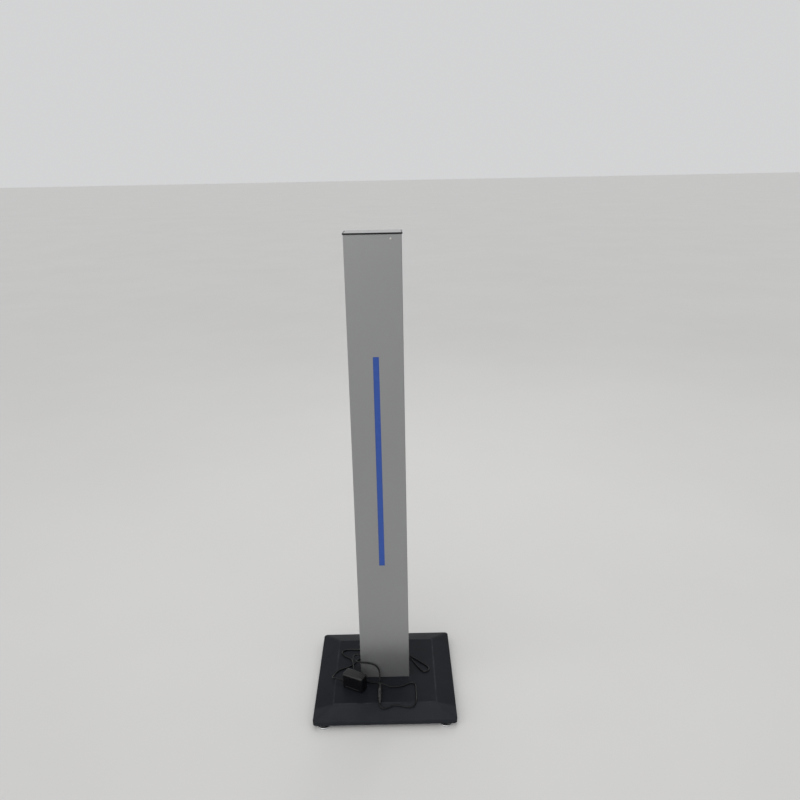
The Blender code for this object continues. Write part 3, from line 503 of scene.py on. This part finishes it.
def fine_route(points):
    """A Catmull-Rom curve through the given points."""
    pts = [Vector(p) for p in points]
    pts = [2 * pts[0] - pts[1]] + pts + [2 * pts[-1] - pts[-2]]
    fine = []
    for p0, p1, p2, p3 in zip(pts, pts[1:], pts[2:], pts[3:]):
        for i in range(ROUTE_STEPS):
            t = i / ROUTE_STEPS
            fine.append(0.5 * (2 * p1 + (p2 - p0) * t
                               + (2 * p0 - 5 * p1 + 4 * p2 - p3) * t * t
                               + (3 * p1 - p0 - 3 * p2 + p3) * t ** 3))
    fine.append(pts[-2])
    return fine


def cord_curve(name, route, node):
    """The cord as a smooth curve on the CAD cord's own route."""
    points = fine_route(route)
    curve = bpy.data.curves.new(name, "CURVE")
    curve.dimensions = "3D"
    curve.bevel_depth = CORD_D / 2
    curve.bevel_resolution = 5
    curve.use_fill_caps = True
    spline = curve.splines.new("POLY")
    spline.points.add(len(points) - 1)
    for spot, point in zip(spline.points, points):
        spot.co = (*point, 1.0)
    curve.materials.append(RUBBER)
    obj = bpy.data.objects.new(name, curve)
    bpy.context.scene.collection.objects.link(obj)
    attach(obj, body_of(node))
    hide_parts(node)
    length = sum((b - a).length for a, b in zip(points, points[1:]))
    return obj, length


# ---------------------------------------------------------------------- base
def base_cover():
    """Pressed tray: upright skirt, rounded lip, sloping border, soft crease, flat plateau."""
    lip_r, crease_r, hem = 0.0026, 0.0045, 0.0004
    steps = 8
    turn = math.atan(BORDER_SLOPE)
    slope = math.degrees(turn)
    lip_z = COVER_LIP_TOP + lip_r * math.tan(turn) - lip_r / math.cos(turn)
    profile = [(BASE_HALF - hem, COVER_BOTTOM), (BASE_HALF, COVER_BOTTOM + hem)]
    profile += arc(BASE_HALF - lip_r, lip_z, lip_r, 0, 90 - slope, 6)
    reach = crease_r * math.tan(turn / 2)
    profile += arc(PLATEAU_HALF - reach, PLATEAU_TOP - crease_r, crease_r, 90 - slope, 90, 5)
    outer = [(rounded(h, h, CORNER_R, steps), z) for h, z in profile]
    inside_r, middle, middle_r = CORNER_R - 0.0015, 0.010, 0.006
    ceiling = PLATEAU_TOP - COVER_T
    inner = [(rounded(h, h, r, steps), z) for h, r, z in (
        (middle, middle_r, ceiling), (PLATEAU_HALF - 0.0004, inside_r, ceiling),
        (BASE_HALF - COVER_T, inside_r, COVER_LIP_TOP - 0.0021),
        (BASE_HALF - COVER_T, inside_r, COVER_BOTTOM))]
    bm = bmesh.new()
    loft(bm, inner + outer)
    add("base_cover_shell", mesh_from(bm, "base_cover_shell"), [COVER_PAINT],
        body_of("base_cover"), ["base_cover"], 28.0)


PAD_PROFILE = [
    (0.0004, 0.0029), (0.0042, 0.0029), (0.0042, 0.0068), (0.0044, 0.0070), (0.0074, 0.0070),
    (0.0078, 0.0069), (0.0084, 0.0067), (0.0092, 0.0065), (0.0110, 0.0063), (0.0140, 0.0058),
    (0.0165, 0.0054), (0.0180, 0.0051), (0.0186, 0.0048), (0.0189, 0.0043), (0.0190, 0.0036),
    (0.0190, 0.0016), (0.0189, 0.0009), (0.0186, 0.0003), (0.0180, 0.0), (0.0004, 0.0)]
THREAD_PITCH = 0.00125
THREAD_LOW, THREAD_HIGH = 0.0044, 0.0214
THREAD_ROOT_R, THREAD_DEPTH = 0.00335, 0.00055


def thread_ring(h, steps):
    """The thread's outline at one height."""
    ring = []
    for i in range(steps):
        phase = (h / THREAD_PITCH - i / steps) % 1.0
        r = THREAD_ROOT_R + THREAD_DEPTH * (1 - abs(2 * phase - 1))
        a = 2 * math.pi * i / steps
        ring.append((r * math.cos(a), r * math.sin(a)))
    return ring


def levelling_feet():
    """Chrome pads with a rounded flange, and studs with a cut thread."""
    steps, ticks = 24, 6
    for place, x, y in (("front_left", -1, -1), ("front_right", 1, -1),
                        ("rear_left", -1, 1), ("rear_right", 1, 1)):
        at = Matrix.Translation((x * FOOT_X, y * FOOT_Y, 0.0))
        pad = "foot_pad_" + place
        turned(pad + "_disc", PAD_PROFILE, at, [CHROME], body_of(pad), [pad], 64)
        stud = "foot_stud_" + place
        rings = [(circle(0.0030, steps), 0.0033), (circle(0.0034, steps), 0.0038)]
        for k in range(int((THREAD_HIGH - THREAD_LOW) / THREAD_PITCH * ticks) + 1):
            h = THREAD_LOW + k * THREAD_PITCH / ticks
            rings.append((thread_ring(h, steps), h))
        rings.append((circle(0.0030, steps), 0.0222))
        bm = bmesh.new()
        loft(bm, rings)
        add(stud + "_thread", mesh_from(bm, stud, at), [ZINC], body_of(stud),
            [stud], 25.0)


# ------------------------------------------------------- adapter and fittings
ADAPTER_PLACE = (Matrix.Translation(adapter_point(0, 0, 0))
                 @ Matrix.Rotation(ADAPTER_TURN, 4, "Z"))


def adapter_cases():
    """Two moulded halves with a seam, rounded outer faces and a blank sunken panel."""
    long, thick, tall = ADAPTER_HALF
    wall, r = 0.002, 0.0045
    for node, side in (("adapter_front_case", -1), ("adapter_rear_case", 1)):
        outer = [(0.0005, 0.00015), (0.0005, 0.0006), (0.0, 0.0010), (0.0001, thick - r)]
        outer += [(r - x, thick - r + y) for x, y in arc(0, 0, r, 12, 90, 6)]
        skin = [(wall, thick - wall), (wall, 0.00015)]
        rings = [(rounded(long - d, tall - d, 0.0018, 5), h) for d, h in skin]
        rings += [(rounded(long - d, tall - d, 0.0030, 5), h) for d, h in outer]
        if side < 0:
            rings += [(rounded(long - 0.0095, tall - 0.0075, 0.0020, 5), thick),
                      (rounded(long - 0.0098, tall - 0.0078, 0.0018, 5), thick - 0.0004)]
        bm = bmesh.new()
        loft(bm, rings)
        lay = Matrix(((1, 0, 0, 0), (0, 0, side, 0), (0, 1, 0, 0), (0, 0, 0, 1)))
        add(node + "_moulding", mesh_from(bm, node, ADAPTER_PLACE @ lay), [BLACK_PLASTIC],
            body_of(node), [node], 40.0)


PIN_X = 0.0095
PIN_PROFILE = [(0.0024, 0.0018), (0.0024, 0.0168), (0.0022, 0.0180), (0.0016, 0.0187),
               (0.0008, 0.0190)]


def adapter_pins():
    """Two round contact pins with domed tips on a low moulded boss."""
    thick = ADAPTER_HALF[1]
    bm = bmesh.new()
    block(bm, (-0.0140, thick + GAP, -0.0040), (0.0140, thick + 0.0018, 0.0040), 0.0006, 3)
    for x in (-PIN_X, PIN_X):
        tube = bmesh.new()
        loft(tube, [(circle(r, 32), h) for r, h in PIN_PROFILE])
        tube.transform(Matrix.Translation((x, thick, 0)) @ Matrix.Rotation(-math.pi / 2, 4, "X"))
        part = bpy.data.meshes.new("pin")
        tube.to_mesh(part)
        tube.free()
        bm.from_mesh(part)
        bpy.data.meshes.remove(part)
    add("adapter_contact_pins", mesh_from(bm, "adapter_contact_pins", ADAPTER_PLACE), [NICKEL],
        body_of("adapter_pins"), ["adapter_pins"])


def ribbed(start, stop, r_start, r_stop, count, depth):
    """Profile of a tapered flexible sleeve with ring-shaped grooves."""
    out = []
    for i in range(count):
        for part, cutback in ((0.0, 0.0), (0.55, 0.0), (0.65, depth), (0.90, depth)):
            t = (i + part) / count
            out.append((r_start + (r_stop - r_start) * t - cutback, start + (stop - start) * t))
    out.append((r_stop, stop))
    return out


GRIP_RING_PITCH = 0.0022


def grip_rings(r, start, count):
    """Profile of a row of square-cut grip grooves."""
    out = []
    for i in range(count):
        h = start + i * GRIP_RING_PITCH
        out += [(r, h), (r - 0.0005, h + 0.0003), (r - 0.0005, h + 0.0009), (r, h + 0.0012)]
    return out


def cord_fittings():
    """The adapter's strain relief and the two halves of the inline connector."""
    at = (ADAPTER_PLACE @ Matrix.Translation((0, 0, RELIEF_DROP))
          @ Matrix.Rotation(-math.pi / 2, 4, "Y"))
    long = ADAPTER_HALF[0]
    turned("adapter_relief_sleeve", ribbed(long + GAP, long + 0.0160, 0.0041, 0.0027, 6, 0.0006),
           at, [RUBBER], body_of("adapter_strain_relief"),
           ["adapter_strain_relief"], 32)
    along = Matrix.Translation((CONNECTOR_X, 0, CONNECTOR_Z)) @ Matrix.Rotation(
        math.pi / 2, 4, "X")
    socket = ribbed(0.0716, 0.0870, 0.0027, 0.0040, 6, 0.0005)
    socket += [(0.0043, 0.0880), (0.0050, 0.0896), (0.0052, 0.0906)]
    socket += grip_rings(0.0052, 0.0960, 5)
    socket += [(0.0052, 0.1180), (0.0051, 0.1186), (0.0047, 0.1190)]
    turned("dc_socket_moulding", socket, along, [GLOSS_PLASTIC], body_of("dc_socket"),
           ["dc_socket"], 40)
    plug = [(0.0045, 0.1193), (0.0049, 0.1195), (0.0050, 0.1200)]
    plug += grip_rings(0.0050, 0.1220, 6)
    plug += [(0.0050, 0.1396), (0.0048, 0.1406)]
    plug += ribbed(0.1420, 0.1545, 0.0040, 0.0026, 5, 0.0005)
    turned("dc_plug_moulding", plug, along, [GLOSS_PLASTIC], body_of("dc_plug"),
           ["dc_plug"], 40)


# ----------------------------------------------------------------- CAD nodes
SOFTENED = {
    "column_shell": 0.0004, "service_door": 0.0005, "top_bezel": 0.0003, "touch_glass": 0.0003,
    "hinge_frame_leaf_lower": 0.0003, "hinge_frame_leaf_upper": 0.0003,
    "hinge_door_leaf_lower": 0.0003, "hinge_door_leaf_upper": 0.0003,
    "lock_barrel": 0.0002, "lock_nut": 0.0003, "equipment_plate": 0.0002,
    "column_foot_plate": 0.0006, "bottom_plate": 0.0004, "light_strap_lower": 0.0003,
    "light_strap_upper": 0.0003, "loom_clip_lower": 0.0003, "loom_clip_upper": 0.0003}


def soften(node, width):
    """Round a sheet or moulded piece's sharp edges a little."""
    weld = node.modifiers.new("Weld", "WELD")
    weld.merge_threshold = 0.00002
    bevel = node.modifiers.new("Edges", "BEVEL")
    bevel.width = width
    bevel.segments = 2
    bevel.limit_method = "ANGLE"
    bevel.angle_limit = math.radians(40)
    bevel.harden_normals = True


def box_middle(node):
    """The middle of a node's own bounding box."""
    corners = [Vector(v) for v in node.bound_box]
    return sum(corners, Vector()) / len(corners)


def keyway(node):
    """Painted shade: darken the lock barrel down its key slot, where the slot's recess lies in
    shade.
    """
    mat = node.data.materials[0].copy()
    mat.name = "lock_barrel_keyway_shade"
    tree, target, plain = base_paint(mat)
    at = own_axes(tree, own_place(tree))
    middle = box_middle(node)
    slot = inside_box(tree, ((at["X"], middle.x, KEY_SLOT_HALF[0]),
                             (at["Z"], middle.z, KEY_SLOT_HALF[1])))
    # Painted shade: the slot is painted near-black.
    tree.links.new(mixed(tree, slot, plain, (0.004, 0.004, 0.004)), target)
    node.data.materials[0] = mat


def dress_nodes():
    """Give every CAD node the finish of its slot."""
    for entry in frame["record"]["subparts"]:
        node = NODES[entry["node"]]
        node.data.materials.clear()
        node.data.materials.append(SLOT_FINISH[entry["material_slot"]])
        if entry["node"] in SOFTENED:
            soften(node, SOFTENED[entry["node"]])
    # Painted shade down the lock barrel's key slot.
    keyway(NODES["lock_barrel"])


SCREW_PROFILE = [(0.0015, 0.0300), (0.0015, 0.0354), (0.0024, 0.0354), (0.0025, 0.0355),
                 (0.0025, 0.0358), (0.00235, 0.0361), (0.0020, 0.0364), (0.0015, 0.03655),
                 (0.0011, 0.0366)]
SCREW_SOCKET = [(0.00088, 0.0366), (0.00082, 0.0365), (0.00080, 0.0357)]


def bezel_screws():
    """Button-head screws with a hexagon socket, one on the front and one on the back."""
    steps = 36
    for name, quarter in (("bezel_screw_front", 90.0), ("bezel_screw_rear", -90.0)):
        middle = NODES[name].matrix_world @ box_middle(NODES[name])
        place = (Matrix.Translation((middle.x, 0.0, middle.z))
                 @ Matrix.Rotation(math.radians(quarter), 4, "X"))
        rings = [(circle(r, steps), h) for r, h in SCREW_PROFILE]
        rings += [(hexagon(flat, steps), h) for flat, h in SCREW_SOCKET]
        bm = bmesh.new()
        loft(bm, rings)
        add(name + "_socket_head", mesh_from(bm, name, place), [NICKEL], body_of(name),
            [name], 30.0)


# --------------------------------------------------------------- electronics
BOARD_Y = -0.0102
BOARD_FACE = BOARD_Y + 0.0016
SOCKETS = ((-0.038, -0.0225, 0.0140), (-0.020, -0.0060, 0.0150), (-0.003, 0.0110, 0.0150))
CHIPS = (
    (-0.0330, 0.2640, 0.0050, 0.0050, 0.0011), (-0.0330, 0.2790, 0.0070, 0.0070, 0.0012),
    (-0.0330, 0.2960, 0.0045, 0.0080, 0.0010), (-0.0170, 0.3020, 0.0090, 0.0060, 0.0012),
    (0.0025, 0.2640, 0.0040, 0.0040, 0.0010), (0.0020, 0.2960, 0.0060, 0.0060, 0.0011),
    (-0.0130, 0.2620, 0.0060, 0.0035, 0.0016))
HEADER_COLUMNS, HEADER_ROWS, HEADER_LOW, HEADER_PITCH = (0.0105, 0.0130), 15, 0.2675, 0.0025
HEADER_RISE, PIN_TOP, PIN_HALF = 0.0024, 0.0085, 0.0003
SINK_X, SINK_LOW, SINK_HIGH = (-0.0220, -0.0040), 0.272, 0.290
SINK_FOOT, FIN_TOP, FIN_T, FIN_PITCH, FIN_COUNT = 0.0024, 0.0080, 0.0011, 0.00279, 7


def controller_board():
    """Single-board computer: metal sockets, chips, a pin header and a finned heat sink."""
    green, metal, black, fins, pale = range(5)
    bm = bmesh.new()

    def part(x, rise, z, mat, bevel=0.0002, segments=1):
        """A block over the board's face, from spans across x, above the face and along z."""
        block(bm, (x[0], BOARD_FACE + rise[0], z[0]), (x[1], BOARD_FACE + rise[1], z[1]),
              bevel, segments, mat)

    block(bm, (-0.040, BOARD_Y, 0.235), (0.016, BOARD_FACE, 0.320), 0.0002, 1, green)
    for left, right, rise in SOCKETS:
        part((left, right), (0, rise), (0.2358, 0.2518), metal, 0.0004, 2)
        part((left + 0.0012, right - 0.0012), (0.0014, rise - 0.0014), (0.2355, 0.2362), black, 0)
        part((left + 0.0024, right - 0.0024), (rise * 0.45, rise * 0.58), (0.23545, 0.2356),
             pale, 0)
    part((-0.012, 0.0030), (0, 0.0060), (0.3120, 0.3194), metal, 0.0004, 2)
    part((0.0085, 0.0150), (0, 0.0026), (0.2650, 0.3050), black)
    for x in HEADER_COLUMNS:
        for row in range(HEADER_ROWS):
            z = HEADER_LOW + row * HEADER_PITCH
            part((x - PIN_HALF, x + PIN_HALF), (HEADER_RISE, PIN_TOP),
                 (z - PIN_HALF, z + PIN_HALF), metal, 0.00008)
    for x, z, wide, tall, rise in CHIPS:
        part((x - wide / 2, x + wide / 2), (0, rise), (z - tall / 2, z + tall / 2), black)
    for i in range(9):
        x, z = -0.0375 + i * 0.0042, 0.2555 + 0.0012 * (i % 2)
        part((x, x + 0.0016), (0, 0.0006), (z, z + 0.0008), pale if i % 3 else metal, 0.0001)
        part((x, x + 0.0012), (0, 0.0006), (z + 0.0530, z + 0.0540), pale if i % 2 else black,
             0.0001)
    part(SINK_X, (0, SINK_FOOT), (SINK_LOW, SINK_HIGH), fins)
    for i in range(FIN_COUNT):
        x = SINK_X[0] + i * FIN_PITCH
        part((x, x + FIN_T), (SINK_FOOT, FIN_TOP), (SINK_LOW, SINK_HIGH), fins)
    add("controller_assembly", mesh_from(bm, "controller_assembly"),
        [BOARD_GREEN, NICKEL, BLACK_PLASTIC, ALUMINIUM, NYLON], body_of("controller_board"),
        ["controller_board"], 30.0)


TERMINAL_COUNT, TERMINAL_PITCH = 6, 0.010
TERMINAL_FIRST = (-0.025, -0.0020, 0.161)
TERMINAL_HEAD = [(0.0002, 0.0), (0.0025, 0.0), (0.0025, 0.0010), (0.0022, 0.0013),
                 (0.0002, 0.0013)]


def terminal_screws():
    """Clamp screws down the wells of the terminal block, each with a raised bar across its head."""
    first = Vector(TERMINAL_FIRST)
    for i in range(TERMINAL_COUNT):
        place = (Matrix.Translation(first + Vector((i * TERMINAL_PITCH, 0, 0)))
                 @ Matrix.Rotation(-math.pi / 2, 4, "X"))
        bm = bmesh.new()
        loft(bm, [(circle(r, 24), h) for r, h in TERMINAL_HEAD])
        block(bm, (-0.0023, -0.0003, 0.0011), (0.0023, 0.0003, 0.0016), 0, 1)
        add(f"terminal_screw_{i + 1}", mesh_from(bm, "terminal_screw", place), [NICKEL],
            body_of("terminal_block"))


def light_strip_board():
    """White strip board with yellow-topped light chips and small resistors."""
    face = -0.0246
    white, gel, black = range(3)
    bm = bmesh.new()
    block(bm, (-0.005, face, LIGHT_LOW), (0.005, face + 0.0016, LIGHT_HIGH), 0, 1, white)
    for i in range(CHIP_COUNT):
        z = LIGHT_LOW + (i + 0.5) * CHIP_PITCH
        block(bm, (-0.0025, face - 0.0014, z - 0.0025), (0.0025, face, z + 0.0025), 0.0003, 1,
              white)
        block(bm, (-0.0018, face - 0.0016, z - 0.0018), (0.0018, face - 0.0014, z + 0.0018),
              0, 1, gel)
        block(bm, (-0.0010, face - 0.0006, z + 0.0060), (0.0010, face, z + 0.0072), 0, 1, black)
    add("light_strip", mesh_from(bm, "light_strip"), [BOARD_WHITE, CHIP_GEL, BLACK_PLASTIC],
        body_of("light_board"), ["light_board"], 30.0)


# --------------------------------------------------------------------- stage
FLOOR_HALF = 60.0
SURROUND_COLOUR, SURROUND_STRENGTH = (0.985, 0.99, 1.0, 1.0), 0.66
LAMPS_AIM = Vector((0, 0, 0.6))
SOFT_SUN = math.radians(80)     # a narrower one overlights the metallic column from low down
LAMPS = (
    ("daylight", "SUN", (1.2, -3.2, 3.6), SOFT_SUN, 0.50),
    ("ceiling", "AREA", (0.0, 0.8, 3.1), 1.2, 14.0),
    ("key", "SUN", (-2.1, -3.0, 2.8), SOFT_SUN, 1.35),
    ("rear", "AREA", (0.9, 2.9, 2.5), 0.45, 7.0))


def make_stage():
    """A plain pale floor, an even pale surround and soft lamps."""
    floor_mat = finish_material("floor", ((0.545, 0.540, 0.530), (0.565, 0.560, 0.550)),
                                (0.60, 0.68), (40.0, 0.00001), 0.8)
    bm = bmesh.new()
    bmesh.ops.create_grid(bm, x_segments=8, y_segments=8, size=FLOOR_HALF)
    floor = bpy.data.objects.new("floor", mesh_from(bm, "floor"))
    floor.data.materials.append(floor_mat)
    bpy.context.scene.collection.objects.link(floor)
    world = bpy.data.worlds.new("studio")
    world.use_nodes = True
    back = world.node_tree.nodes["Background"]
    back.inputs["Color"].default_value = SURROUND_COLOUR
    back.inputs["Strength"].default_value = SURROUND_STRENGTH
    bpy.context.scene.world = world
    bpy.context.scene.view_settings.view_transform = "Standard"
    for name, kind, spot, size, power in LAMPS:
        data = bpy.data.lights.new(name, kind)
        if kind == "SUN":
            data.angle = size
        else:
            data.size = size
        data.energy = power
        lamp = bpy.data.objects.new(name, data)
        bpy.context.scene.collection.objects.link(lamp)
        lamp.location = spot
        aim = LAMPS_AIM - Vector(spot)
        lamp.rotation_mode = "QUATERNION"
        lamp.rotation_quaternion = aim.to_track_quat("-Z", "Y")


# ------------------------------------------------------------------ assembly
make_camera()
adapter_cases()
adapter_pins()
cord_fittings()

pigtail, pigtail_length = cord_curve("pigtail_cord", PIGTAIL_ROUTE, "pigtail")
lead, lead_length = cord_curve("adapter_cord", LEAD_ROUTE, "adapter_lead")

base_cover()
levelling_feet()
controller_board()
terminal_screws()
light_strip_board()
bezel_screws()
make_stage()

dress_nodes()
